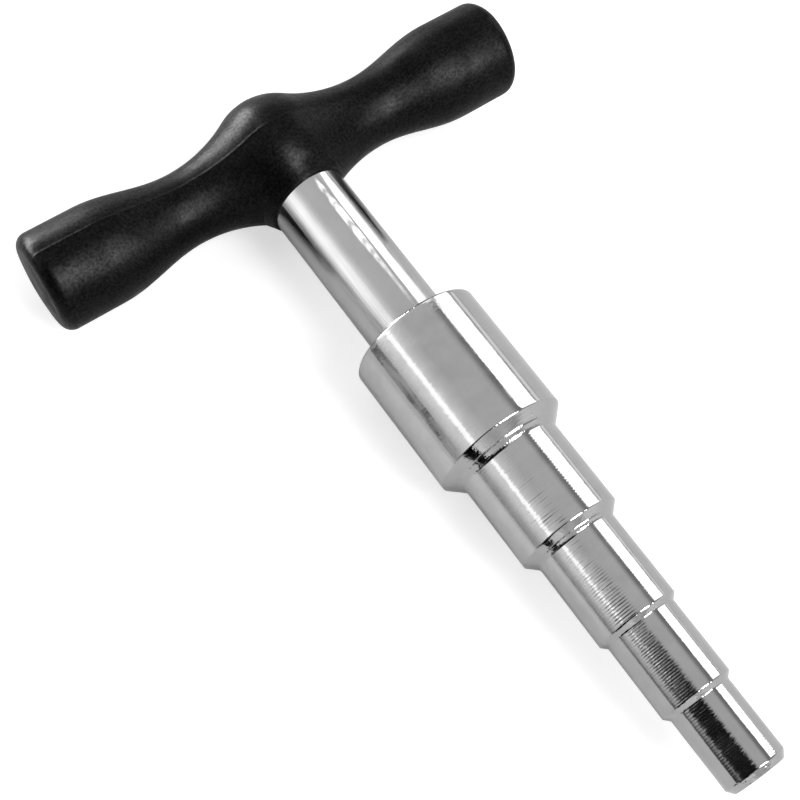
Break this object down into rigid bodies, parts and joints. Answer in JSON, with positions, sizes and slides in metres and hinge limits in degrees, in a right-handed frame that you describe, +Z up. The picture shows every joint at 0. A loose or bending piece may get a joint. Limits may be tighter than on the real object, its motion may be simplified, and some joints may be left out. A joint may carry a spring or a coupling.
{
  "type": "stepped pipe-sizing mandrel",
  "caption": "T-handled hand tool: plated steel mandrel with stepped, cone-led diameters on a round shank, for rounding and sizing the cut ends of multilayer pipe.",
  "frame": {"origin": "on the surface the tool lies on, under the middle of its bounding box", "axes": "+X along the grip, +Y along the tool from the mandrel's tip to the grip, +Z up"},
  "size_m": [0.1064, 0.157, 0.026],
  "materials": {
    "grip_plastic": "black moulded nylon, satin, with a fine moulded skin",
    "drawn_plated_steel": "nickel-plated drawn steel, smooth and bright",
    "turned_plated_steel": "nickel-plated turned steel with fine turning rings",
    "bare_steel": "bare drawn steel, hidden inside the grip"
  },
  "bodies": {
    "root": {"t_grip": "grip_plastic", "shank": "drawn_plated_steel", "stepped_mandrel": "turned_plated_steel", "cross_bar": "bare_steel"}
  },
  "joints": []
}
